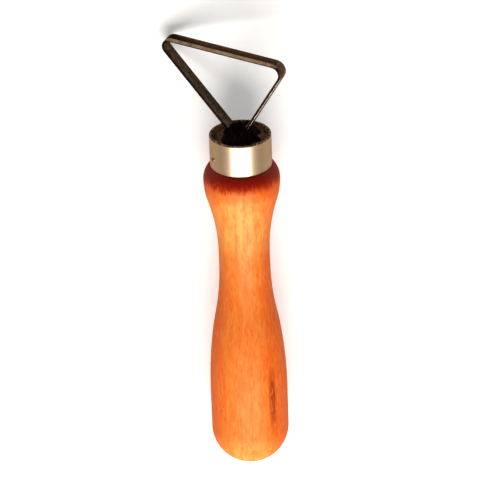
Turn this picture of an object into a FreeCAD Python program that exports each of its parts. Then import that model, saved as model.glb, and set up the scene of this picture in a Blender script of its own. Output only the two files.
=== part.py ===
import FreeCAD, Part
import math
import os

# A triangular loop cutter for lino: a flat spring-steel strip bent into a triangle,
# its two ends set side by side with black pitch into a turned wooden handle, whose
# front end is held by a plated ferrule and one small brad.
#
# The tool lies on a bench as it does when it is put down: on the two swellings of
# the handle and on the loop's long corner. Its axis runs along X, with the loop
# towards +X, and Z is up. The origin is the middle of the underside of its box.
# While the pieces are made, the axis is the X axis and x = 0 is the ferrule's mouth.

os.makedirs("parts", exist_ok=True)

# ---- driving dimensions, mm --------------------------------------------------

# ferrule
FERRULE_DIAMETER = 22.0
FERRULE_LENGTH = 12.0
FERRULE_WALL = 1.0
FERRULE_RIM_ROUND = 0.35
LARGEST_RIM_SHARE = 0.45

# handle: lengths are measured from the ferrule's rear edge towards the butt
SWELLING_DIAMETER = 27.4
WAIST_DIAMETER = 18.2
SHOULDER_STEP = 0.3
FRONT_SWELLING_AT = 5.3
WAIST_FRONT_AT = 34.2
WAIST_REAR_AT = 40.0
REAR_SWELLING_AT = 87.0
BUTT_STRAIGHT = 16.4
FRONT_FLANK_SHARE = 0.285
REAR_FLANK_SHARE = 0.62

# tenon under the ferrule, and the socket bored into it
TENON_CLEARANCE = 0.05
TENON_RECESS = 1.8
SOCKET_DEPTH = 34.0
SOCKET_MARGIN = 0.4
SOCKET_FLOOR_GAP = 1.0
DRILL_POINT_ANGLE = 118.0

# steel strip and the loop that it is bent into; "across" is in the plane of the
# loop, from the axis towards the short corner, and "ahead" is from the mouth
STRIP_WIDTH = 5.0
STRIP_THICKNESS = 1.0
LONG_CORNER_ACROSS = -31.0
LONG_CORNER_AHEAD = 33.9
SHORT_CORNER_ACROSS = 19.2
SHORT_CORNER_AHEAD = 29.1
NECK_AHEAD = -1.3
TANG_GAP = 0.3
LONG_BEND_RADIUS = 2.6
SHORT_BEND_RADIUS = 3.3
NECK_BEND_RADIUS = 1.4
GRIND_WIDTH = 1.3
EDGE_LAND = 0.3

# pitch that holds the tangs
PITCH_COLLAR_DIAMETER = 13.6
PITCH_COLLAR_HEIGHT = 3.8

# brad that pins the ferrule to the tenon
BRAD_DIAMETER = 1.0
BRAD_LENGTH = 5.0
BRAD_HEAD_DIAMETER = 1.6
BRAD_HEAD_HEIGHT = 0.2
BRAD_FROM_REAR_EDGE = 4.4
BRAD_ANGLE = 26.0

# ---- sizes that follow --------------------------------------------------------

AXIS = FreeCAD.Vector(1, 0, 0)
ORIGIN = FreeCAD.Vector(0, 0, 0)

swelling_radius = SWELLING_DIAMETER / 2
waist_radius = WAIST_DIAMETER / 2
ferrule_radius = FERRULE_DIAMETER / 2
ferrule_bore_radius = ferrule_radius - FERRULE_WALL
tenon_radius = ferrule_bore_radius - TENON_CLEARANCE
tang_spacing = STRIP_THICKNESS + TANG_GAP
tang_pair_diagonal = math.hypot(STRIP_WIDTH, tang_spacing + STRIP_THICKNESS)
socket_radius = tang_pair_diagonal / 2 + SOCKET_MARGIN
tang_length = SOCKET_DEPTH - SOCKET_FLOOR_GAP


def on_profile(x, radius):
    """A point of a turned profile: x along the axis, radius above it."""
    return FreeCAD.Vector(x, 0, radius)


def line(start, end):
    return Part.LineSegment(start, end).toShape()


def arc(start, middle, end):
    return Part.Arc(start, middle, end).toShape()


def turned(edges):
    """The solid that a closed profile sweeps about the tool's axis."""
    return Part.Face(Part.Wire(edges)).revolve(ORIGIN, AXIS, 360)


def flank(peak_x, peak_radius, valley_x, valley_radius, peak_share):
    """Two tangent arcs from a swelling down to the waist, as edges from peak to valley.

    peak_share is the part of the two radii together that the swelling's arc has.
    """
    run = valley_x - peak_x
    drop = peak_radius - valley_radius
    radii_sum = (run * run + drop * drop) / (2 * drop)
    peak_arc = radii_sum * peak_share
    valley_arc = radii_sum - peak_arc
    turn = math.asin(abs(run) / radii_sum)
    way = math.copysign(1, run)

    def on_peak_arc(angle):
        return on_profile(peak_x + way * peak_arc * math.sin(angle),
                          peak_radius - peak_arc * (1 - math.cos(angle)))

    def on_valley_arc(angle):
        return on_profile(valley_x - way * valley_arc * math.sin(angle),
                          valley_radius + valley_arc * (1 - math.cos(angle)))

    return [arc(on_peak_arc(0), on_peak_arc(turn / 2), on_peak_arc(turn)),
            arc(on_valley_arc(turn), on_valley_arc(turn / 2), on_valley_arc(0))]


# ---- handle -------------------------------------------------------------------

def socket_bore():
    """The blind hole with its drill point, from the tenon's end towards the butt."""
    mouth_x = -TENON_RECESS
    floor_x = mouth_x - SOCKET_DEPTH
    point_height = socket_radius / math.tan(math.radians(DRILL_POINT_ANGLE / 2))
    hole = Part.makeCylinder(socket_radius, SOCKET_DEPTH, FreeCAD.Vector(floor_x, 0, 0), AXIS)
    point = Part.makeCone(0, socket_radius, point_height,
                          FreeCAD.Vector(floor_x - point_height, 0, 0), AXIS)
    return hole.fuse(point)


def handle():
    rear_edge_x = -FERRULE_LENGTH
    tenon_end_x = -TENON_RECESS
    shoulder_radius = ferrule_radius + SHOULDER_STEP
    front_swelling_x = rear_edge_x - FRONT_SWELLING_AT
    waist_front_x = rear_edge_x - WAIST_FRONT_AT
    waist_rear_x = rear_edge_x - WAIST_REAR_AT
    rear_swelling_x = rear_edge_x - REAR_SWELLING_AT
    butt_centre_x = rear_swelling_x - BUTT_STRAIGHT
    butt_end_x = butt_centre_x - swelling_radius

    # the arc that rises from the ferrule and is level at the swelling
    rise = swelling_radius - shoulder_radius
    shoulder_arc = (FRONT_SWELLING_AT ** 2 + rise ** 2) / (2 * rise)
    shoulder_turn = math.asin(FRONT_SWELLING_AT / shoulder_arc)
    shoulder_middle = on_profile(
        front_swelling_x + shoulder_arc * math.sin(shoulder_turn / 2),
        swelling_radius - shoulder_arc * (1 - math.cos(shoulder_turn / 2)))
    half_round = swelling_radius * math.sin(math.radians(45))

    edges = [
        line(on_profile(tenon_end_x, 0), on_profile(tenon_end_x, tenon_radius)),
        line(on_profile(tenon_end_x, tenon_radius), on_profile(rear_edge_x, tenon_radius)),
        line(on_profile(rear_edge_x, tenon_radius), on_profile(rear_edge_x, shoulder_radius)),
        arc(on_profile(rear_edge_x, shoulder_radius), shoulder_middle,
            on_profile(front_swelling_x, swelling_radius)),
    ]
    edges += flank(front_swelling_x, swelling_radius,
                   waist_front_x, waist_radius, FRONT_FLANK_SHARE)
    edges.append(line(on_profile(waist_front_x, waist_radius),
                      on_profile(waist_rear_x, waist_radius)))
    edges += flank(rear_swelling_x, swelling_radius,
                   waist_rear_x, waist_radius, REAR_FLANK_SHARE)
    edges += [
        line(on_profile(rear_swelling_x, swelling_radius),
             on_profile(butt_centre_x, swelling_radius)),
        arc(on_profile(butt_centre_x, swelling_radius),
            on_profile(butt_centre_x - half_round, half_round),
            on_profile(butt_end_x, 0)),
        line(on_profile(butt_end_x, 0), on_profile(tenon_end_x, 0)),
    ]
    blank = turned(Part.__sortEdges__(edges))
    return blank.cut(socket_bore()).cut(brad_shank())


# ---- ferrule ------------------------------------------------------------------

def ferrule():
    tube = Part.makeCylinder(ferrule_radius, FERRULE_LENGTH,
                             FreeCAD.Vector(-FERRULE_LENGTH, 0, 0), AXIS)
    bore = Part.makeCylinder(ferrule_bore_radius, FERRULE_LENGTH,
                             FreeCAD.Vector(-FERRULE_LENGTH, 0, 0), AXIS)
    sleeve = tube.cut(bore)
    rims = [edge for edge in sleeve.Edges
            if isinstance(edge.Curve, Part.Circle) and edge.BoundBox.XLength < FERRULE_WALL]
    sleeve = sleeve.makeFillet(min(FERRULE_RIM_ROUND, FERRULE_WALL * LARGEST_RIM_SHARE), rims)
    return sleeve.cut(brad_shank())


# ---- brad ---------------------------------------------------------------------

def brad_outward():
    """The direction from the axis to the brad's head."""
    angle = math.radians(BRAD_ANGLE)
    return FreeCAD.Vector(0, math.cos(angle), math.sin(angle))


def brad_shank():
    """The round wire, from its point in the wood to the top of its head."""
    outward = brad_outward()
    station = FreeCAD.Vector(BRAD_FROM_REAR_EDGE - FERRULE_LENGTH, 0, 0)
    top = ferrule_radius + BRAD_HEAD_HEIGHT
    point_height = BRAD_DIAMETER
    point_start = ferrule_radius - BRAD_LENGTH
    shank_start = point_start + point_height
    shank = Part.makeCylinder(BRAD_DIAMETER / 2, top - shank_start,
                              station + outward * shank_start, outward)
    point = Part.makeCone(0, BRAD_DIAMETER / 2, point_height,
                          station + outward * point_start, outward)
    return shank.fuse(point)


def ferrule_brad():
    """The nail, with a flat head whose underside follows the ferrule."""
    outward = brad_outward()
    station = FreeCAD.Vector(BRAD_FROM_REAR_EDGE - FERRULE_LENGTH, 0, 0)
    head_start = ferrule_radius - FERRULE_WALL
    head = Part.makeCylinder(BRAD_HEAD_DIAMETER / 2, FERRULE_WALL + BRAD_HEAD_HEIGHT,
                             station + outward * head_start, outward)
    ferrule_space = Part.makeCylinder(ferrule_radius, FERRULE_LENGTH,
                                      FreeCAD.Vector(-FERRULE_LENGTH, 0, 0), AXIS)
    return brad_shank().fuse(head.cut(ferrule_space)).removeSplitter()


# ---- loop ---------------------------------------------------------------------

def loop_corners():
    """Sharp corners of the strip's middle line in the loop's plane, tang end to tang end."""
    tang_end = -TENON_RECESS - tang_length
    half_spacing = tang_spacing / 2
    return [
        (-half_spacing, tang_end),
        (-half_spacing, NECK_AHEAD),
        (LONG_CORNER_ACROSS, LONG_CORNER_AHEAD),
        (SHORT_CORNER_ACROSS, SHORT_CORNER_AHEAD),
        (half_spacing, NECK_AHEAD),
        (half_spacing, tang_end),
    ]


def unit(start, end):
    length = math.dist(start, end)
    return ((end[0] - start[0]) / length, (end[1] - start[1]) / length)


def offset_corners(corners, distance):
    """The corners of the line that runs beside the middle line, to its left."""
    count = len(corners)
    directions = [unit(corners[i], corners[i + 1]) for i in range(count - 1)]
    result = []
    for i in range(count):
        before = directions[max(i - 1, 0)]
        after = directions[min(i, count - 2)]
        normal_before = (-before[1], before[0])
        normal_after = (-after[1], after[0])
        scale = distance / (1 + normal_before[0] * normal_after[0]
                            + normal_before[1] * normal_after[1])
        result.append((corners[i][0] + scale * (normal_before[0] + normal_after[0]),
                       corners[i][1] + scale * (normal_before[1] + normal_after[1])))
    return result


def rounded_path(corners, radii):
    """Lists of (start, middle, end) for arcs and (start, end) for runs, in order."""
    pieces = []
    here = corners[0]
    for i, radius in enumerate(radii):
        corner = corners[i + 1]
        back = unit(corner, corners[i])
        ahead = unit(corner, corners[i + 2])
        half_angle = math.acos(back[0] * ahead[0] + back[1] * ahead[1]) / 2
        trim = radius / math.tan(half_angle)
        bisector = unit((0, 0), (back[0] + ahead[0], back[1] + ahead[1]))
        reach = radius / math.sin(half_angle) - radius
        start = (corner[0] + back[0] * trim, corner[1] + back[1] * trim)
        end = (corner[0] + ahead[0] * trim, corner[1] + ahead[1] * trim)
        middle = (corner[0] + bisector[0] * reach, corner[1] + bisector[1] * reach)
        pieces.append((here, start))
        pieces.append((start, middle, end))
        here = end
    pieces.append((here, corners[-1]))
    return pieces


def bend_radii(side):
    """Radii of one face's bends: side is +1 for the loop's inside, -1 for its outside."""
    shift = side * STRIP_THICKNESS / 2
    return [NECK_BEND_RADIUS + shift, LONG_BEND_RADIUS - shift,
            SHORT_BEND_RADIUS - shift, NECK_BEND_RADIUS + shift]


def loop_edges(pieces, height):
    """Edges of a path in a plane parallel to the loop's, at a height above it."""
    edges = []
    for piece in pieces:
        points = [FreeCAD.Vector(ahead, -across, height) for across, ahead in piece]
        if len(points) == 2:
            edges.append(line(points[0], points[1]))
        else:
            edges.append(arc(points[0], points[1], points[2]))
    return edges


def strip_outline(height):
    """The closed outline of the strip seen edge-on, at a height above the loop's plane."""
    half_thickness = STRIP_THICKNESS / 2
    inside = rounded_path(offset_corners(loop_corners(), -half_thickness), bend_radii(1))
    outside = rounded_path(offset_corners(loop_corners(), half_thickness), bend_radii(-1))
    edges = loop_edges(inside, height) + loop_edges(outside, height)
    for inner, outer in ((inside[0][0], outside[0][0]), (inside[-1][-1], outside[-1][-1])):
        edges.append(line(FreeCAD.Vector(inner[1], -inner[0], height),
                          FreeCAD.Vector(outer[1], -outer[0], height)))
    return Part.Wire(Part.__sortEdges__(edges))


def ground_bevel():
    """What grinding takes off the top bar's outside, along the edge away from the bench."""
    long_corner, short_corner = loop_corners()[2:4]
    along = unit(long_corner, short_corner)
    outward = (-along[1], along[0])
    run = math.dist(long_corner, short_corner)
    half_width = STRIP_WIDTH / 2
    half_thickness = STRIP_THICKNESS / 2
    depth = STRIP_THICKNESS - EDGE_LAND

    def place(reach, height):
        across = long_corner[0] + outward[0] * reach
        ahead = long_corner[1] + outward[1] * reach
        return FreeCAD.Vector(ahead, -across, height)

    below = place(half_thickness + depth, half_width - 2 * GRIND_WIDTH)
    above = place(half_thickness - 2 * depth, half_width + GRIND_WIDTH)
    outside = place(half_thickness + depth, half_width + GRIND_WIDTH)
    section = Part.makePolygon([below, above, outside, below])
    return Part.Face(section).extrude(FreeCAD.Vector(along[1], -along[0], 0) * run)


def resting_turn():
    """How far the loop is turned about the axis when its long corner meets the bench.

    The corner's lowest point is reach * sin(turn) + half_width * cos(turn) below the
    axis, and it equals the radius of the swellings that the handle lies on.
    """
    corners = loop_corners()
    back = unit(corners[2], corners[1])
    ahead = unit(corners[2], corners[3])
    half_angle = math.acos(back[0] * ahead[0] + back[1] * ahead[1]) / 2
    bisector = unit((0, 0), (back[0] + ahead[0], back[1] + ahead[1]))
    bend_centre = corners[2][0] + bisector[0] * LONG_BEND_RADIUS / math.sin(half_angle)
    reach = abs(bend_centre) + LONG_BEND_RADIUS + STRIP_THICKNESS / 2
    half_width = STRIP_WIDTH / 2
    return math.degrees(math.asin(swelling_radius / math.hypot(reach, half_width))
                        - math.atan2(half_width, reach))


def flat_loop():
    """The loop before it is turned: its plane is the XY plane."""
    half_width = STRIP_WIDTH / 2
    outline = Part.Face(strip_outline(-half_width))
    strip = outline.extrude(FreeCAD.Vector(0, 0, STRIP_WIDTH))
    return strip.cut(ground_bevel())


# ---- pitch --------------------------------------------------------------------

def socket_pitch(loop):
    """Pitch that fills the socket round the tangs and stands in a low collar on the tenon."""
    tenon_end_x = -TENON_RECESS
    collar_radius = PITCH_COLLAR_DIAMETER / 2
    crown = (collar_radius ** 2 + PITCH_COLLAR_HEIGHT ** 2) / (2 * PITCH_COLLAR_HEIGHT)
    ball = Part.makeSphere(crown, FreeCAD.Vector(tenon_end_x + PITCH_COLLAR_HEIGHT - crown, 0, 0))
    ahead_of_tenon = Part.makeCylinder(collar_radius, PITCH_COLLAR_HEIGHT,
                                       FreeCAD.Vector(tenon_end_x, 0, 0), AXIS)
    filling = socket_bore().fuse(ball.common(ahead_of_tenon))
    return filling.cut(loop).removeSplitter()


# ---- assembly -----------------------------------------------------------------

def main():
    loop = flat_loop()
    pieces = {
        "handle": handle(),
        "ferrule": ferrule(),
        "cutter_loop": loop,
        "socket_pitch": socket_pitch(loop),
        "ferrule_brad": ferrule_brad(),
    }
    for name in ("cutter_loop", "socket_pitch"):
        pieces[name].rotate(ORIGIN, AXIS, -resting_turn())

    box = Part.makeCompound(list(pieces.values())).optimalBoundingBox(False)
    to_origin = FreeCAD.Vector(-box.Center.x, -box.Center.y, -box.ZMin)
    for name, shape in pieces.items():
        shape.translate(to_origin)
        shape.exportStep(f"parts/{name}.step")
        print(name, "solids", len(shape.Solids), "valid", shape.isValid(),
              "volume", round(shape.Volume, 2))


main()
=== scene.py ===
import math

import bmesh
import bpy
from mathutils import Matrix, Vector, noise


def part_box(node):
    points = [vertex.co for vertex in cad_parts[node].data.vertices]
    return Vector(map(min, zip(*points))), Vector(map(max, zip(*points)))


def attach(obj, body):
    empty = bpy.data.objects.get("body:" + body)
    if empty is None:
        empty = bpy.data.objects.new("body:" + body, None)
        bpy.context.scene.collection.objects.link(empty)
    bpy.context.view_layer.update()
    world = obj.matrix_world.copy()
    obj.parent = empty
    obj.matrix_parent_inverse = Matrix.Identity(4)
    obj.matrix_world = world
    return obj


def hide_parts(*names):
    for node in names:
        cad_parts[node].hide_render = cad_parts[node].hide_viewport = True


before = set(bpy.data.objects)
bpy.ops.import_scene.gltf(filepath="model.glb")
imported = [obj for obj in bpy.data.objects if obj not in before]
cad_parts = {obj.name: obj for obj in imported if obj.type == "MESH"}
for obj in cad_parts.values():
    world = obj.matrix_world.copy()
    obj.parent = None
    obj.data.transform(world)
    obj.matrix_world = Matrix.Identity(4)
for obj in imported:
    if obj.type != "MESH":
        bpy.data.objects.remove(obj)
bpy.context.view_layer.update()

# ---- the tool's own places, from the frame --------------------------------------

MM = 0.001
PER_MM = 1 / MM
handle_low, handle_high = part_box("handle")
ferrule_low, ferrule_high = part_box("ferrule")

axis_y = (ferrule_low.y + ferrule_high.y) / 2
axis_z = (ferrule_low.z + ferrule_high.z) / 2
mouth_x = ferrule_high.x
rear_edge_x = ferrule_low.x
ferrule_radius = (ferrule_high.z - ferrule_low.z) / 2
ferrule_bore_radius = min(math.hypot(vertex.co.y - axis_y, vertex.co.z - axis_z)
                          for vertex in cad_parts["ferrule"].data.vertices)
butt_x = handle_low.x
tenon_x = handle_high.x


# ---- camera and light -------------------------------------------------------------

CAMERA_ELEVATION = math.radians(62.9)
CAMERA_ROLL = math.radians(2.04)
CAMERA_DISTANCE = 5.0
PICTURE_WIDTH = 0.176
AIM_BEHIND_MOUTH = 0.0411
AIM_ACROSS = 0.0035
SENSOR_WIDTH = 36.0


def make_camera():
    """A long lens that looks down the tool from above its loop, which is at the top."""
    to_camera = Vector((math.cos(CAMERA_ELEVATION), 0, math.sin(CAMERA_ELEVATION)))
    level_up = Vector((math.sin(CAMERA_ELEVATION), 0, -math.cos(CAMERA_ELEVATION)))
    level_right = Vector((0, -1, 0))
    turn_cos = math.cos(CAMERA_ROLL)
    turn_sin = math.sin(CAMERA_ROLL)
    right = level_right * turn_cos - level_up * turn_sin
    up = level_up * turn_cos + level_right * turn_sin
    mouth = Vector((mouth_x, axis_y, axis_z))
    aim = mouth - up * AIM_BEHIND_MOUTH + right * AIM_ACROSS
    data = bpy.data.cameras.new("camera")
    data.sensor_width = SENSOR_WIDTH
    data.lens = SENSOR_WIDTH * CAMERA_DISTANCE / PICTURE_WIDTH
    data.clip_start = 0.05
    data.clip_end = 30
    camera = bpy.data.objects.new("camera", data)
    turn = Matrix((right, up, to_camera)).transposed().to_4x4()
    camera.matrix_world = Matrix.Translation(aim + to_camera * CAMERA_DISTANCE) @ turn
    bpy.context.scene.collection.objects.link(camera)
    bpy.context.scene.camera = camera


def make_softbox(name, azimuth, elevation, distance, width, height, watts, colour):
    """A rectangular lamp that faces the tool. Azimuth 0 is over +X, 90 over +Y."""
    around = math.radians(azimuth)
    above = math.radians(elevation)
    direction = Vector((math.cos(above) * math.cos(around),
                        math.cos(above) * math.sin(around), math.sin(above)))
    data = bpy.data.lights.new(name, "AREA")
    data.shape = "RECTANGLE"
    data.size = width
    data.size_y = height
    data.energy = watts
    data.color = colour
    lamp = bpy.data.objects.new(name, data)
    lamp.location = direction * distance
    lamp.rotation_euler = direction.to_track_quat("Z", "Y").to_euler()
    bpy.context.scene.collection.objects.link(lamp)


def make_lights():
    make_softbox("key_softbox", azimuth=180, elevation=48, distance=1.0,
                 width=1.06, height=0.7, watts=17, colour=(1.0, 0.96, 0.90))


# ---- shader helpers ---------------------------------------------------------------

def add_node(tree, kind, inputs=None, **settings):
    """A node with its settings; inputs are plain values or the sockets that feed them."""
    node = tree.nodes.new(kind)
    for name, value in settings.items():
        setattr(node, name, value)
    for name, value in (inputs or {}).items():
        if isinstance(value, bpy.types.NodeSocket):
            tree.links.new(value, node.inputs[name])
        else:
            node.inputs[name].default_value = value
    return node


def new_material(name, **sockets):
    """A Principled material, and its tree and shader, with constants set on the shader."""
    material = bpy.data.materials.new(name)
    material.use_nodes = True
    tree = material.node_tree
    shader = tree.nodes["Principled BSDF"]
    for socket, value in sockets.items():
        shader.inputs[socket.replace("_", " ")].default_value = value
    return material, tree, shader


def stretched_place(tree, scale, offset=(0, 0, 0)):
    """The surface's place in the tool's frame, scaled by axis, for a solid texture."""
    place = add_node(tree, "ShaderNodeTexCoord").outputs["Object"]
    return add_node(tree, "ShaderNodeMapping", {"Vector": place, "Location": offset,
                                                "Scale": scale}).outputs["Vector"]


def grain_place(tree, along, across, offset=(0, 0, 0)):
    """A place for features stretched along the tool, by how many there are in a millimetre."""
    return stretched_place(tree, (along * PER_MM, across * PER_MM, across * PER_MM), offset)


def even_place(tree, per_mm, offset=(0, 0, 0)):
    """A place for features of one size every way, by how many there are in a millimetre."""
    return stretched_place(tree, (per_mm * PER_MM,) * 3, offset)


def axis_position(tree):
    """The surface's place along the tool, in metres."""
    place = add_node(tree, "ShaderNodeTexCoord").outputs["Object"]
    return add_node(tree, "ShaderNodeSeparateXYZ", {"Vector": place}).outputs["X"]


def noise_of(tree, vector, scale=1.0, detail=3.0, roughness=0.55, distortion=0.0):
    return add_node(tree, "ShaderNodeTexNoise",
                    {"Vector": vector, "Scale": scale, "Detail": detail,
                     "Roughness": roughness, "Distortion": distortion}).outputs["Fac"]


def remap(tree, value, low, high, to_low=0.0, to_high=1.0, kind="LINEAR"):
    return add_node(tree, "ShaderNodeMapRange",
                    {"Value": value, "From Min": low, "From Max": high,
                     "To Min": to_low, "To Max": to_high},
                    interpolation_type=kind).outputs["Result"]


def math_of(tree, operation, first, second=0.0):
    node = add_node(tree, "ShaderNodeMath", operation=operation)
    for socket, value in zip(node.inputs, (first, second)):
        if isinstance(value, bpy.types.NodeSocket):
            tree.links.new(value, socket)
        else:
            socket.default_value = value
    return node.outputs["Value"]


def mix_colour(tree, factor, first, second, blend="MIX"):
    node = add_node(tree, "ShaderNodeMix", data_type="RGBA", blend_type=blend)
    for name, value in (("Factor_Float", factor), ("A_Color", first), ("B_Color", second)):
        socket = next(s for s in node.inputs if s.identifier == name)
        if isinstance(value, bpy.types.NodeSocket):
            tree.links.new(value, socket)
        elif name == "Factor_Float":
            socket.default_value = value
        else:
            socket.default_value = (*value, 1.0)
    return next(s for s in node.outputs if s.identifier == "Result_Color")


def bump_of(tree, height, strength, distance, normal=None):
    inputs = {"Height": height, "Strength": strength, "Distance": distance}
    if normal is not None:
        inputs["Normal"] = normal
    return add_node(tree, "ShaderNodeBump", inputs).outputs["Normal"]


# ---- materials --------------------------------------------------------------------

# the lacquered wood, from pale to deep, and the stain that gathers at the shoulder
BEECH_PALE = (0.93, 0.44, 0.105)
BEECH_MIDDLE = (0.93, 0.27, 0.045)
BEECH_DEEP = (0.92, 0.150, 0.012)
BEECH_GRAIN = (0.70, 0.085, 0.006)
BEECH_FLECK = (0.36, 0.035, 0.004)
STAIN_RED = (0.58, 0.036, 0.003)
STAIN_DARK = (0.33, 0.003, 0.0005)

# painted light and shade: how deep the wood's tone is, paler where the handle turns to the light and
# deeper where it turns away, at distances behind the ferrule in millimetres
TONE_AND_SHADE_ALONG = ((0, 0.70), (7, 0.45), (11, 0.06), (24, 0.04), (38, 0.55), (50, 0.66),
              (66, 0.58), (80, 0.50), (98, 0.50), (109, 0.30), (116, 0.12))
# painted shade: how much deeper it is at the two sides, the right more than the left, at this
# distance from the axis
SIDE_SHADE_REACH = 10 * MM
SIDE_SHADE_LEFT = 0.40
SIDE_SHADE_RIGHT = 0.75

STAIN_CLEAR = 6.4 * MM
STAIN_RED_FROM = 4.2 * MM
STAIN_DARK_FROM = 2.4 * MM
STREAK_BEHIND_MOUTH = 100 * MM
STREAK_ASIDE = -8.3 * MM
STREAK_ABOVE = 10.9 * MM
STREAK_HALF = (15 * MM, 1.9 * MM, 2.4 * MM)


def dark_streak(tree, grain):
    """How much a mineral streak darkens the wood, at one place on the rear swelling."""
    centre = (mouth_x - STREAK_BEHIND_MOUTH, axis_y + STREAK_ASIDE, axis_z + STREAK_ABOVE)
    scale = tuple(1 / half for half in STREAK_HALF)
    offset = tuple(-c * k for c, k in zip(centre, scale))
    place = stretched_place(tree, scale, offset)
    distance = add_node(tree, "ShaderNodeVectorMath", {0: place}, operation="LENGTH")
    inside = remap(tree, distance.outputs["Value"], 0.35, 1.0, 0.95, 0.0)
    return math_of(tree, "MULTIPLY", inside, remap(tree, grain, 0.30, 0.52))


def distance_behind_ferrule(tree):
    return math_of(tree, "SUBTRACT", rear_edge_x, axis_position(tree))


def tone_and_shade_along(tree, behind):
    """The wood's depth of tone along the handle, painted light and shade, between pale 0 and deep 1.
    """
    length = rear_edge_x - butt_x
    share = math_of(tree, "DIVIDE", behind, length)
    ramp = add_node(tree, "ShaderNodeValToRGB", {"Fac": share})
    ramp.color_ramp.interpolation = "EASE"
    elements = ramp.color_ramp.elements
    elements.remove(elements[-1])
    for distance, tone in TONE_AND_SHADE_ALONG[1:]:
        elements.new(distance * MM / length).color = (tone, tone, tone, 1)
    nearest_tone = TONE_AND_SHADE_ALONG[0][1]
    elements[0].color = (nearest_tone, nearest_tone, nearest_tone, 1)
    return ramp.outputs["Color"]


def beech_material():
    """Stained, lacquered beech: tone with painted light and shade, rings, curly grain, blotches,
    flecks and stain.
    """
    material, tree, shader = new_material("beech_lacquered", IOR=1.45, Coat_Weight=0.08,
                                          Coat_Roughness=0.25, Coat_IOR=1.45,
                                          Specular_IOR_Level=0.25,
                                          Specular_Tint=(1.0, 0.78, 0.45, 1.0))
    behind = distance_behind_ferrule(tree)
    # broad tone: the board's colour and the stain wandering at random, over painted light and shade
    # along and across the handle
    broad = noise_of(tree, grain_place(tree, 0.03, 0.12),
                     detail=2.0)
    tone = math_of(tree, "ADD", tone_and_shade_along(tree, behind), remap(tree, broad, 0.3, 0.7, -0.2, 0.2))
    # painted shade: deeper towards the sides, by the square of the distance from the axis
    aside = stretched_place(tree, (1, 1 / SIDE_SHADE_REACH, 1), (0, -axis_y / SIDE_SHADE_REACH, 0))
    leftward = add_node(tree, "ShaderNodeSeparateXYZ", {"Vector": aside}).outputs["Y"]
    rightward = math_of(tree, "MULTIPLY", leftward, -1.0)
    left = math_of(tree, "POWER", math_of(tree, "MAXIMUM", leftward, 0.0), 2.0)
    right = math_of(tree, "POWER", math_of(tree, "MAXIMUM", rightward, 0.0), 2.0)
    tone = math_of(tree, "ADD", tone, math_of(tree, "MULTIPLY", left, SIDE_SHADE_LEFT))
    tone = math_of(tree, "ADD", tone, math_of(tree, "MULTIPLY", right, SIDE_SHADE_RIGHT))
    colour = mix_colour(tree, remap(tree, tone, 0.0, 0.5), BEECH_PALE, BEECH_MIDDLE)
    colour = mix_colour(tree, remap(tree, tone, 0.5, 1.0), colour, BEECH_DEEP)
    # growth rings, which wander across the grain
    ring_place = stretched_place(tree, (0.03 * PER_MM, 0.30 * PER_MM, 0.17 * PER_MM))
    rings = add_node(tree, "ShaderNodeTexWave",
                     {"Vector": ring_place, "Scale": 0.30, "Distortion": 5.5, "Detail": 3.0,
                      "Detail Scale": 1.6}, wave_type="BANDS", bands_direction="Y").outputs["Fac"]
    colour = mix_colour(tree, remap(tree, rings, 0.6, 1.0, 0.0, 0.28), colour, BEECH_DEEP)
    # curly figure: short wavering lines along the grain
    grain = noise_of(tree, grain_place(tree, 0.22, 1.15),
                     detail=4.0, roughness=0.62, distortion=0.7)
    colour = mix_colour(tree, remap(tree, grain, 0.50, 0.72, 0.0, 0.62), colour, BEECH_GRAIN)
    colour = mix_colour(tree, remap(tree, grain, 0.46, 0.30, 0.0, 0.35), colour, BEECH_PALE)
    blotch = noise_of(tree, grain_place(tree, 0.16, 0.42,
                                            (7, 3, 1)), detail=3.0)
    colour = mix_colour(tree, remap(tree, blotch, 0.50, 0.66, 0.0, 0.50), colour, BEECH_DEEP)
    # short ray flecks
    fleck_place = grain_place(tree, 0.36, 1.7)
    flecks = add_node(tree, "ShaderNodeTexVoronoi", {"Vector": fleck_place, "Scale": 1.0,
                      "Randomness": 1.0}, feature="F1")
    spot = remap(tree, flecks.outputs["Distance"], 0.10, 0.30, 1.0, 0.0)
    chosen = noise_of(tree, grain_place(tree, 0.2, 0.5))
    spot = math_of(tree, "MULTIPLY", spot, remap(tree, chosen, 0.47, 0.62))
    colour = mix_colour(tree, math_of(tree, "MULTIPLY", spot, 0.5), colour, BEECH_FLECK)
    # a dark streak low on one side
    colour = mix_colour(tree, dark_streak(tree, grain), colour, BEECH_FLECK)
    # stain that has gathered against the ferrule and darkened the shoulder
    wander = remap(tree, grain, 0.3, 0.7, -1.5 * MM, 1.5 * MM)
    reach = math_of(tree, "ADD", behind, wander)
    colour = mix_colour(tree, remap(tree, reach, STAIN_RED_FROM, STAIN_CLEAR, 1.0, 0.0),
                        colour, STAIN_RED)
    colour = mix_colour(tree, remap(tree, reach, STAIN_DARK_FROM, STAIN_RED_FROM, 0.9, 0.0),
                        colour, STAIN_DARK)
    tree.links.new(colour, shader.inputs["Base Color"])
    # the surface: lacquer that sinks into the grain
    roughness = remap(tree, grain, 0.3, 0.8, 0.40, 0.58)
    tree.links.new(roughness, shader.inputs["Roughness"])
    fine = noise_of(tree, grain_place(tree, 0.5, 5), detail=3.0)
    normal = bump_of(tree, fine, 0.2, 0.03 * MM)
    normal = bump_of(tree, spot, 0.3, -0.03 * MM, normal)
    tree.links.new(normal, shader.inputs["Normal"])
    return material


END_GRAIN_DARK = (0.060, 0.022, 0.008)
END_GRAIN_PALE = (0.42, 0.185, 0.075)
END_GRAIN_DIRT_AND_SHADE = (0.03, 0.015, 0.008)


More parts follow.
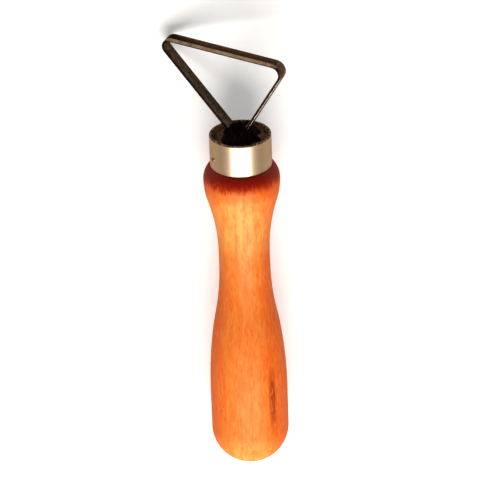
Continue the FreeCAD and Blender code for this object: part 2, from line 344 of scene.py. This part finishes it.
def end_grain_material():
    """Sawn end grain inside the ferrule, dark with dirt and pitch and with painted shade, as it sits
    in the ferrule's mouth.
    """
    material, tree, shader = new_material("beech_end_grain", Roughness=0.75)
    pores = noise_of(tree, grain_place(tree, 0.6, 2.2),
                     detail=5.0, roughness=0.7)
    # dirt and painted shade: dark patches over the end grain in the mouth
    dirt_and_shade = noise_of(tree, even_place(tree, 0.35, (4, 2, 1)), detail=3.0)
    colour = mix_colour(tree, remap(tree, pores, 0.38, 0.66), END_GRAIN_DARK, END_GRAIN_PALE)
    colour = mix_colour(tree, remap(tree, dirt_and_shade, 0.44, 0.66, 0.0, 0.8), colour, END_GRAIN_DIRT_AND_SHADE)
    tree.links.new(colour, shader.inputs["Base Color"])
    tree.links.new(bump_of(tree, pores, 0.7, 0.1 * MM), shader.inputs["Normal"])
    return material


# the plate's colours, tinted warm: a painted reflection of warm surroundings
NICKEL_BRIGHT = (0.82, 0.70, 0.56)
NICKEL_AGED = (0.72, 0.58, 0.43)
# grime with painted shade on the rim of the mouth, pale and dark, and how far in from the mouth it
# reaches
GRIME_AND_SHADE_PALE = (0.26, 0.19, 0.13)
GRIME_AND_SHADE_DARK = (0.045, 0.025, 0.014)
RIM_GRIME_AND_SHADE_DEPTH = 0.5 * MM


def nickel_material():
    """Thin plate, mottled with age and tinted warm as a painted reflection of warm surroundings, with
    pitch, dust and painted shade over the rim of the mouth.
    """
    material, tree, shader = new_material("nickel_plate", Metallic=1.0)
    lines = noise_of(tree, grain_place(tree, 6, 0.25),
                     detail=3.0)
    clouds = noise_of(tree, even_place(tree, 0.3), detail=4.0)
    colour = mix_colour(tree, remap(tree, clouds, 0.35, 0.7), NICKEL_BRIGHT, NICKEL_AGED)
    # grime with painted shade over the end face and inside the mouth, where the metal would mirror
    # the bench in the tool's shadow
    along = axis_position(tree)
    specks = noise_of(tree, even_place(tree, 0.9, (3, 1, 2)), detail=5.0,
                      roughness=0.65)
    at_rim = remap(tree, along, mouth_x - RIM_GRIME_AND_SHADE_DEPTH, mouth_x - RIM_GRIME_AND_SHADE_DEPTH / 3)
    grime_and_shade = math_of(tree, "MULTIPLY", at_rim, remap(tree, specks, 0.36, 0.52, 0.45, 1.0))
    tone = mix_colour(tree, remap(tree, specks, 0.35, 0.65), GRIME_AND_SHADE_PALE, GRIME_AND_SHADE_DARK)
    colour = mix_colour(tree, grime_and_shade, colour, tone)
    tree.links.new(colour, shader.inputs["Base Color"])
    roughness = math_of(tree, "ADD", remap(tree, lines, 0.3, 0.7, 0.29, 0.38),
                        remap(tree, clouds, 0.4, 0.8, 0.0, 0.10))
    roughness = math_of(tree, "ADD", roughness, math_of(tree, "MULTIPLY", grime_and_shade, 0.3))
    tree.links.new(roughness, shader.inputs["Roughness"])
    tree.links.new(bump_of(tree, lines, 0.12, 0.01 * MM), shader.inputs["Normal"])
    return material


# steel tones: dark, pale and freckle where it is tempered, and darker where shade is painted on it;
# pale and dark where it is bare, and paler where a highlight is painted on it
TEMPERED_TONES = ((0.034, 0.021, 0.014), (0.115, 0.082, 0.060), (0.24, 0.18, 0.14))
PAINTED_SHADE_TONES = ((0.012, 0.004, 0.002), (0.034, 0.017, 0.009), (0.08, 0.050, 0.032))
GROUND_TONES = ((0.46, 0.36, 0.25), (0.22, 0.15, 0.10))
PAINTED_HIGHLIGHT_TONES = ((0.86, 0.80, 0.74), (0.50, 0.42, 0.36))


def steel_material(name, dark, pale, freckle):
    """Hard spring steel, brown from tempering and handling, with worn freckles; its darker copy is
    painted shade.
    """
    material, tree, shader = new_material(name, Metallic=1.0,
                                          Specular_Tint=(1.0, 0.80, 0.64, 1.0))
    mottle = noise_of(tree, even_place(tree, 0.55), detail=5.0, roughness=0.65)
    colour = mix_colour(tree, remap(tree, mottle, 0.35, 0.7), dark, pale)
    specks = noise_of(tree, even_place(tree, 1.6, (1, 6, 2)), detail=4.0,
                      roughness=0.7)
    colour = mix_colour(tree, remap(tree, specks, 0.58, 0.70, 0.0, 0.55), colour, freckle)
    tree.links.new(colour, shader.inputs["Base Color"])
    roughness = remap(tree, mottle, 0.3, 0.7, 0.46, 0.30)
    tree.links.new(roughness, shader.inputs["Roughness"])
    fine = noise_of(tree, even_place(tree, 3), detail=4.0)
    tree.links.new(bump_of(tree, fine, 0.2, 0.02 * MM), shader.inputs["Normal"])
    return material


def bare_and_highlight_steel_material(name, pale, dark):
    """The same steel where grinding has bared it, with fine scratches; its pale copy is a painted
    highlight.
    """
    material, tree, shader = new_material(name, Metallic=1.0)
    scratches = noise_of(tree, stretched_place(tree, (5 * PER_MM, 0.5 * PER_MM, 5 * PER_MM)),
                         detail=3.0)
    stains = noise_of(tree, even_place(tree, 0.4, (2, 2, 5)), detail=4.0)
    colour = mix_colour(tree, remap(tree, stains, 0.40, 0.68), pale, dark)
    tree.links.new(colour, shader.inputs["Base Color"])
    tree.links.new(remap(tree, scratches, 0.3, 0.7, 0.34, 0.52), shader.inputs["Roughness"])
    tree.links.new(bump_of(tree, scratches, 0.2, 0.01 * MM), shader.inputs["Normal"])
    return material


PITCH_BLACK = (0.002, 0.0016, 0.0013)
PITCH_DULL = (0.011, 0.007, 0.004)
BRAD_DARK = (0.20, 0.16, 0.12)
BRAD_PALE = (0.42, 0.37, 0.31)


def pitch_material():
    """Black pitch, dull and lumpy."""
    material, tree, shader = new_material("black_pitch", IOR=1.45,
                                          Specular_IOR_Level=0.1)
    lumps = noise_of(tree, even_place(tree, 1.1), detail=5.0, roughness=0.65)
    colour = mix_colour(tree, remap(tree, lumps, 0.4, 0.75), PITCH_BLACK, PITCH_DULL)
    tree.links.new(colour, shader.inputs["Base Color"])
    tree.links.new(remap(tree, lumps, 0.3, 0.7, 0.85, 0.6), shader.inputs["Roughness"])
    tree.links.new(bump_of(tree, lumps, 0.6, 0.15 * MM), shader.inputs["Normal"])
    return material


def brad_material():
    """Dull steel wire."""
    material, tree, shader = new_material("brad_wire", Metallic=1.0)
    dull = noise_of(tree, even_place(tree, 2.5), detail=4.0)
    colour = mix_colour(tree, remap(tree, dull, 0.35, 0.7), BRAD_DARK, BRAD_PALE)
    tree.links.new(colour, shader.inputs["Base Color"])
    tree.links.new(remap(tree, dull, 0.3, 0.7, 0.5, 0.3), shader.inputs["Roughness"])
    return material


# ---- stage ------------------------------------------------------------------------

FLOOR_HALF = 4.0
FLOOR_WHITE = (0.82, 0.82, 0.82)
# the bench as the metal mirrors it: behind the mouth a painted reflection of shade, brown; ahead of
# it near white
FLOOR_MIRRORED = (0.42, 0.33, 0.25)
FLOOR_MIRRORED_AHEAD = (0.86, 0.82, 0.76)
FLOOR_LIFT = 0.36


def make_floor():
    """A white bench top, lifted a little for the camera so that only shadow darkens it; as the metal
    mirrors it, it is painted in shade, brown behind the mouth.
    """
    mesh = bpy.data.meshes.new("floor")
    corners = [(-FLOOR_HALF, -FLOOR_HALF, 0), (FLOOR_HALF, -FLOOR_HALF, 0),
               (FLOOR_HALF, FLOOR_HALF, 0), (-FLOOR_HALF, FLOOR_HALF, 0)]
    mesh.from_pydata(corners, [], [(0, 1, 2, 3)])
    floor = bpy.data.objects.new("floor", mesh)
    bpy.context.scene.collection.objects.link(floor)
    material = bpy.data.materials.new("white_bench")
    material.use_nodes = True
    tree = material.node_tree
    tree.nodes.clear()
    path = add_node(tree, "ShaderNodeLightPath")
    seen = path.outputs["Is Camera Ray"]
    along = axis_position(tree)
    # painted shade in reflections: the bench the metal mirrors is brown behind the mouth and near
    # white ahead of it
    mirrored = mix_colour(tree, remap(tree, along, mouth_x, mouth_x + ferrule_radius), FLOOR_MIRRORED,
                          FLOOR_MIRRORED_AHEAD)
    tone = mix_colour(tree, path.outputs["Is Glossy Ray"], FLOOR_WHITE, mirrored)
    diffuse = add_node(tree, "ShaderNodeBsdfDiffuse", {"Color": tone})
    strength = math_of(tree, "MULTIPLY", seen, FLOOR_LIFT)
    glow = add_node(tree, "ShaderNodeEmission", {"Color": (1, 1, 1, 1), "Strength": strength})
    total = tree.nodes.new("ShaderNodeAddShader")
    tree.links.new(diffuse.outputs[0], total.inputs[0])
    tree.links.new(glow.outputs[0], total.inputs[1])
    output = tree.nodes.new("ShaderNodeOutputMaterial")
    tree.links.new(total.outputs[0], output.inputs["Surface"])
    mesh.materials.append(material)


def make_world():
    """Soft grey light, white to the camera, and warm brown in what the metal mirrors."""
    world = bpy.data.worlds.new("studio")
    bpy.context.scene.world = world
    world.use_nodes = True
    tree = world.node_tree
    tree.nodes.clear()
    path = add_node(tree, "ShaderNodeLightPath")
    ambient = add_node(tree, "ShaderNodeBackground",
                       {"Color": (1.0, 0.97, 0.94, 1), "Strength": 0.16})
    mirrored = add_node(tree, "ShaderNodeBackground",
                        {"Color": (0.62, 0.44, 0.30, 1), "Strength": 0.6})
    seen = add_node(tree, "ShaderNodeBackground", {"Color": (1, 1, 1, 1), "Strength": 1.0})
    glossy = tree.nodes.new("ShaderNodeMixShader")
    tree.links.new(path.outputs["Is Glossy Ray"], glossy.inputs["Fac"])
    tree.links.new(ambient.outputs[0], glossy.inputs[1])
    tree.links.new(mirrored.outputs[0], glossy.inputs[2])
    whole = tree.nodes.new("ShaderNodeMixShader")
    tree.links.new(path.outputs["Is Camera Ray"], whole.inputs["Fac"])
    tree.links.new(glossy.outputs[0], whole.inputs[1])
    tree.links.new(seen.outputs[0], whole.inputs[2])
    output = tree.nodes.new("ShaderNodeOutputWorld")
    tree.links.new(whole.outputs[0], output.inputs["Surface"])


# ---- pieces -----------------------------------------------------------------------

FERRULE_SEGMENTS = 192
FERRULE_WALL_RINGS = 24
FERRULE_BORE_RINGS = 8
RIM_STEPS = 5
RIM_ROUND_OUTSIDE = 0.34 * MM
RIM_ROUND_INSIDE = 0.22 * MM
FERRULE_DENT = 0.004 * MM
DENTS_PER_MM = 0.16
HANDLE_SEGMENTS = 144
BUTT_RINGS = 30
BARREL_RINGS = 260
END_RINGS = 14
EDGE_ROUND = 0.25 * MM
CHAMFER_SHARE = 0.3
SMOOTH_STEPS = 3
TENON_CLEARANCE = 0.05 * MM
SMOOTH_REACH = 1.2 * MM
TURNING_DEPTH = 0.012 * MM
TURNING_PER_MM = 0.45
HOLLOW_DEPTH = 0.05 * MM
HOLLOWS_PER_MM = 0.09
END_ROUGHNESS = 0.25 * MM
SOCKET_SIGHT_RADIUS = 3.2 * MM
SOCKET_SIGHT_DEPTH = 3.0 * MM
STRIP_EDGE_ROUND = 0.1 * MM
SHARP_EDGE = math.radians(25)
FLAT_ENOUGH = math.radians(0.4)
# the loop's ground faces, its faces painted in shade and its edge painted with a highlight: places
# ahead of the mouth, and how nearly a face's normal points along the tool (FACING), or away from the
# bench (TILT, EDGE)
GROUND_FROM = 18 * MM
GROUND_TILT = (0.38, 0.56)
TOP_BAR_FACING = 0.6
PAINTED_SHADE_FACING = 0.93
EDGE_FACING = 0.9
PAINTED_HIGHLIGHT_TO = 25 * MM
PITCH_RADIUS = 6.3 * MM
PITCH_LEAN = 1.3 * MM
PITCH_LEFT = 0.9 * MM
PITCH_LEG_COVER = 4.0
PITCH_HEIGHT = 3.6 * MM
# how the pitch climbs a leg: its side, then millimetres out and up, and a squared spread
PITCH_CLIMBS = ((1, 3.2, 4.0, 1.2), (-1, 2.9, 1.8, 2.6))
PITCH_ROOT = 6.0 * MM
PITCH_EDGE_GAP = 0.2 * MM
PITCH_EDGE_SINK = 0.15 * MM
PITCH_RINGS = 26
PITCH_SEGMENTS = 120


def link_piece(name, mesh, material, node):
    """Puts a mesh in the scene as a piece that stands for a CAD node."""
    mesh.materials.clear()
    mesh.materials.append(material)
    piece = bpy.data.objects.new(name, mesh)
    bpy.context.scene.collection.objects.link(piece)
    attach(piece, "root")
    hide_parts(node)
    return piece


def finish_mesh(bm, name, sharp_angle):
    """A smooth-shaded mesh whose edges stay hard above an angle in degrees."""
    bmesh.ops.recalc_face_normals(bm, faces=bm.faces)
    mesh = bpy.data.meshes.new(name)
    bm.to_mesh(mesh)
    bm.free()
    mesh.polygons.foreach_set("use_smooth", [True] * len(mesh.polygons))
    mesh.set_sharp_from_angle(angle=math.radians(sharp_angle))
    return mesh


def turned_mesh(profile, segments, shift, name, sharp_angle, closed=False):
    """Revolves (x, radius) points about the tool's axis.

    shift(x, radius, angle) gives what is added to x and to the radius. A radius of zero
    at either end closes the mesh with a single point there, and a closed profile joins
    its last ring to its first.
    """
    bm = bmesh.new()
    rings = []
    for x, radius in profile:
        if radius < 1e-7:
            rings.append([bm.verts.new((x, axis_y, axis_z))])
            continue
        ring = []
        for i in range(segments):
            angle = 2 * math.pi * i / segments
            along, out = shift(x, radius, angle)
            ring.append(bm.verts.new((x + along, axis_y + (radius + out) * math.cos(angle),
                                      axis_z + (radius + out) * math.sin(angle))))
        rings.append(ring)
    following = rings[1:] + rings[:1] if closed else rings[1:]
    for near, far in zip(rings, following):
        for i in range(segments):
            j = (i + 1) % segments
            if len(near) == 1:
                bm.faces.new((near[0], far[i], far[j]))
            elif len(far) == 1:
                bm.faces.new((near[i], far[0], near[j]))
            else:
                bm.faces.new((near[i], far[i], far[j], near[j]))
    return finish_mesh(bm, name, sharp_angle)


def cad_outline(node, low_x, high_x):
    """Sorted (x, radius) rings of a turned CAD node between two places on its axis."""
    widest = {}
    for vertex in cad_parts[node].data.vertices:
        place = vertex.co
        if low_x - 1e-7 <= place.x <= high_x + 1e-7:
            key = round(place.x, 6)
            radius = math.hypot(place.y - axis_y, place.z - axis_z)
            widest[key] = max(widest.get(key, 0.0), radius)
    return sorted(widest.items())


def radius_at(outline, x):
    """The outline's radius at x, straight between its rings."""
    for (x0, r0), (x1, r1) in zip(outline, outline[1:]):
        if x0 <= x <= x1:
            return r0 + (r1 - r0) * (x - x0) / max(x1 - x0, 1e-9)
    return outline[0][1] if x < outline[0][0] else outline[-1][1]


def make_handle(materials):
    """The turned handle: its skin is read from the frame and given a turner's small marks."""
    swelling = (handle_high.z - handle_low.z) / 2
    # only the skin: the socket's rings and the brad's hole are nearer to the axis
    outline = [(x, radius) for x, radius in cad_outline("handle", butt_x, rear_edge_x)
               if radius > SOCKET_SIGHT_RADIUS * 2 or x < butt_x + swelling / 2]
    profile = [(butt_x, 0.0)]
    for i in range(1, BUTT_RINGS):
        turn = math.pi / 2 * i / BUTT_RINGS
        profile.append((butt_x + swelling * (1 - math.cos(turn)), swelling * math.sin(turn)))
    barrel_start = butt_x + swelling
    barrel_end = rear_edge_x - EDGE_ROUND
    for i in range(BARREL_RINGS + 1):
        x = barrel_start + (barrel_end - barrel_start) * i / BARREL_RINGS
        window = [radius_at(outline, x + step * SMOOTH_REACH / SMOOTH_STEPS)
                  for step in range(-SMOOTH_STEPS, SMOOTH_STEPS + 1)]
        smooth = sum(window) / len(window)
        near_edge = min(1.0, (rear_edge_x - x) / (SMOOTH_REACH * 2))
        profile.append((x, smooth * near_edge + radius_at(outline, x) * (1 - near_edge)))
    edge_radius = radius_at(outline, rear_edge_x)
    tenon_radius = ferrule_bore_radius - TENON_CLEARANCE
    chamfer = EDGE_ROUND * CHAMFER_SHARE
    profile += [(rear_edge_x - chamfer, edge_radius - chamfer),
                (rear_edge_x, edge_radius - EDGE_ROUND),
                (rear_edge_x, tenon_radius),
                (tenon_x - EDGE_ROUND, tenon_radius)]
    for i in range(END_RINGS + 1):
        radius = tenon_radius - EDGE_ROUND
        radius += (SOCKET_SIGHT_RADIUS - radius) * i / END_RINGS
        profile.append((tenon_x, radius))
    profile += [(tenon_x - SOCKET_SIGHT_DEPTH, SOCKET_SIGHT_RADIUS),
                (tenon_x - SOCKET_SIGHT_DEPTH, 0.0)]

    def marks(x, radius, angle):
        """Torn end grain at the tenon's end, and tool marks and soft hollows on the skin."""
        place = Vector((x, radius * math.cos(angle), radius * math.sin(angle))) / MM
        if x > tenon_x - EDGE_ROUND and radius > SOCKET_SIGHT_RADIUS * 1.02:
            torn = noise.fractal(place * 0.9, 1.0, 2.0, 4)
            return -abs(torn) * END_ROUGHNESS, 0.0
        if x > rear_edge_x - EDGE_ROUND:
            return 0.0, 0.0
        turning = noise.noise(Vector((place.x * TURNING_PER_MM, 0.3, 7.0)))
        hollow = noise.noise(place * HOLLOWS_PER_MM + Vector((3.0, 5.0, 1.0)))
        depth = (1 + turning) * TURNING_DEPTH + (1 + hollow) * HOLLOW_DEPTH
        return 0.0, -depth

    mesh = turned_mesh(profile, HANDLE_SEGMENTS, marks, "turned_handle", 32)
    piece = link_piece("turned_handle", mesh, materials["handle"], "handle")
    mesh.materials.append(materials["end_grain"])
    for face in mesh.polygons:
        if face.center.x > rear_edge_x + 0.1 * MM:
            face.material_index = 1
    return piece


def make_ferrule(materials):
    """The plated tube, with rounded rims and an outside that is very slightly uneven."""
    profile = []

    def quarter(x, radius, size, start):
        """A rim's rounding about a centre at x, radius, from an angle in degrees."""
        for i in range(RIM_STEPS + 1):
            turn = math.radians(start + 90 * i / RIM_STEPS)
            profile.append((x + size * math.cos(turn), radius + size * math.sin(turn)))

    def straight(start_x, end_x, radius, count):
        for i in range(1, count):
            profile.append((start_x + (end_x - start_x) * i / count, radius))

    outside = RIM_ROUND_OUTSIDE
    inside = RIM_ROUND_INSIDE
    quarter(mouth_x - inside, ferrule_bore_radius + inside, inside, -90)
    quarter(mouth_x - outside, ferrule_radius - outside, outside, 0)
    straight(mouth_x - outside, rear_edge_x + outside, ferrule_radius, FERRULE_WALL_RINGS)
    quarter(rear_edge_x + outside, ferrule_radius - outside, outside, 90)
    quarter(rear_edge_x + inside, ferrule_bore_radius + inside, inside, 180)
    straight(rear_edge_x + inside, mouth_x - inside, ferrule_bore_radius, FERRULE_BORE_RINGS)

    def dents(x, radius, angle):
        if radius < (ferrule_bore_radius + ferrule_radius) / 2:
            return 0.0, 0.0
        place = Vector((x, radius * math.cos(angle), radius * math.sin(angle))) / MM
        return 0.0, -(1 + noise.noise(place * DENTS_PER_MM)) * FERRULE_DENT

    mesh = turned_mesh(profile, FERRULE_SEGMENTS, dents, "plated_ferrule", 60, closed=True)
    return link_piece("plated_ferrule", mesh, materials["ferrule"], "ferrule")


def make_loop(materials):
    """The bent strip, with the burr taken off every long edge."""
    bm = bmesh.new()
    bm.from_mesh(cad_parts["cutter_loop"].data)
    bmesh.ops.remove_doubles(bm, verts=bm.verts, dist=1e-6)
    bmesh.ops.dissolve_limit(bm, angle_limit=FLAT_ENOUGH, verts=bm.verts, edges=bm.edges)
    sharp_edges = [edge for edge in bm.edges
                  if len(edge.link_faces) == 2
                  and edge.calc_face_angle(0) > SHARP_EDGE]
    bmesh.ops.bevel(bm, geom=sharp_edges, offset=STRIP_EDGE_ROUND, offset_type="OFFSET",
                    segments=3, profile=0.5, affect="EDGES", clamp_overlap=True)
    mesh = finish_mesh(bm, "bent_strip_loop", 24)
    piece = link_piece("bent_strip_loop", mesh, materials["cutter_loop"], "cutter_loop")
    ground_slot, painted_shade_slot, painted_highlight_slot = 1, 2, 3
    for kind in ("ground_edge", "painted_shade", "painted_highlight"):
        mesh.materials.append(materials[kind])
    beside = loop_beside()
    for face in mesh.polygons:
        tilt = face.normal.dot(beside)
        top_bar = face.center.x > mouth_x + GROUND_FROM and face.normal.x > TOP_BAR_FACING
        long_leg_edge = tilt > EDGE_FACING and face.center.y > axis_y + ferrule_radius / 3
        short_leg_edge = (tilt > EDGE_FACING and face.center.y < axis_y - ferrule_radius / 4
                          and face.center.x < mouth_x + PAINTED_HIGHLIGHT_TO)
        if top_bar and GROUND_TILT[0] < tilt < GROUND_TILT[1]:
            face.material_index = ground_slot
        # the short leg's edge near the mouth takes a pale copy of the steel: a painted highlight
        elif short_leg_edge:
            face.material_index = painted_highlight_slot
        # faces turned from the light, the top bar's outer face and the long leg's edge, take a darker
        # copy of the steel: painted shade
        elif top_bar and face.normal.x > PAINTED_SHADE_FACING or long_leg_edge:
            face.material_index = painted_shade_slot
    return piece


def loop_direction():
    """In the YZ plane, the way from the loop's long corner to its short corner."""
    points = [vertex.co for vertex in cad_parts["cutter_loop"].data.vertices
              if vertex.co.x > mouth_x]
    low_side = min(points, key=lambda point: point.z)
    high_side = max(points, key=lambda point: point.z)
    return Vector((0, high_side.y - low_side.y, high_side.z - low_side.z)).normalized()


def loop_beside():
    """The loop plane's own normal, on the side away from the bench."""
    beside = loop_direction().cross(Vector((1, 0, 0)))
    return beside if beside.z > 0 else -beside


def make_pitch(materials):
    """A ragged lump of black pitch that creeps out over the wood and up both legs."""
    across = loop_direction()
    beside = -loop_beside()
    limit = ferrule_bore_radius - PITCH_EDGE_GAP
    bm = bmesh.new()
    rings = []
    for k in range(PITCH_RINGS + 1):
        share = k / PITCH_RINGS
        ring = []
        for i in range(PITCH_SEGMENTS):
            angle = 2 * math.pi * i / PITCH_SEGMENTS
            way = Vector((math.cos(angle), math.sin(angle), 0))
            ragged = noise.fractal(way * 1.9 + Vector((2.1, 4.7, 0.5)), 0.8, 2.1, 5)
            tongues = max(0.0, noise.noise(way * 3.3 + Vector((9.0, 1.0, 2.0))))
            reach = PITCH_RADIUS * (0.95 + 0.30 * ragged + 0.55 * tongues)
            reach += PITCH_LEAN * max(0.0, way.y) + PITCH_LEFT * max(0.0, -way.x)
            radius = min(reach, limit) * share
            spot = Vector((radius * way.x, radius * way.y, 0)) / MM
            lump = noise.fractal(spot * 0.42 + Vector((5.0, 0.0, 3.3)), 0.9, 2.1, 5)
            dome = (1 - share ** 3) ** 0.8
            height = PITCH_HEIGHT * dome * (0.9 + 0.5 * lump) * (1 + 0.25 * way.y * share)
            for leg_way, out, climb, spread in PITCH_CLIMBS:
                gap = (spot.x * leg_way - out) ** 2 / spread + (spot.y / PITCH_LEG_COVER) ** 4
                height += climb * MM * math.exp(-gap) * (0.9 + 0.4 * lump)
            if share == 1.0:
                height = -PITCH_EDGE_SINK
            centre = Vector((tenon_x + height, axis_y, axis_z))
            ring.append(bm.verts.new(centre + across * spot.x * MM + beside * spot.y * MM))
            if k == 0:
                break
        rings.append(ring)
    under = bm.verts.new((tenon_x - PITCH_ROOT, axis_y, axis_z))
    for near, far in zip(rings, rings[1:]):
        for i in range(PITCH_SEGMENTS):
            j = (i + 1) % PITCH_SEGMENTS
            if len(near) == 1:
                bm.faces.new((near[0], far[i], far[j]))
            else:
                bm.faces.new((near[i], far[i], far[j], near[j]))
    for i in range(PITCH_SEGMENTS):
        bm.faces.new((rings[-1][(i + 1) % PITCH_SEGMENTS], rings[-1][i], under))
    mesh = finish_mesh(bm, "pitch_lump", 70)
    return link_piece("pitch_lump", mesh, materials["socket_pitch"], "socket_pitch")


def main():
    make_camera()
    make_lights()
    make_world()
    make_floor()
    materials = {
        "handle": beech_material(),
        "end_grain": end_grain_material(),
        "ferrule": nickel_material(),
        "cutter_loop": steel_material("tempered_steel", *TEMPERED_TONES),
        # a darker copy of the tempered steel: painted shade
        "painted_shade": steel_material("painted_shade_steel", *PAINTED_SHADE_TONES),
        "ground_edge": bare_and_highlight_steel_material("ground_steel", *GROUND_TONES),
        # a pale copy of the bare steel: a painted highlight
        "painted_highlight": bare_and_highlight_steel_material("painted_highlight_steel", *PAINTED_HIGHLIGHT_TONES),
        "socket_pitch": pitch_material(),
    }
    make_handle(materials)
    make_ferrule(materials)
    make_loop(materials)
    make_pitch(materials)
    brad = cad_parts["ferrule_brad"]
    brad.data.materials.clear()
    brad.data.materials.append(brad_material())
    bpy.context.scene.view_settings.view_transform = "Standard"


main()
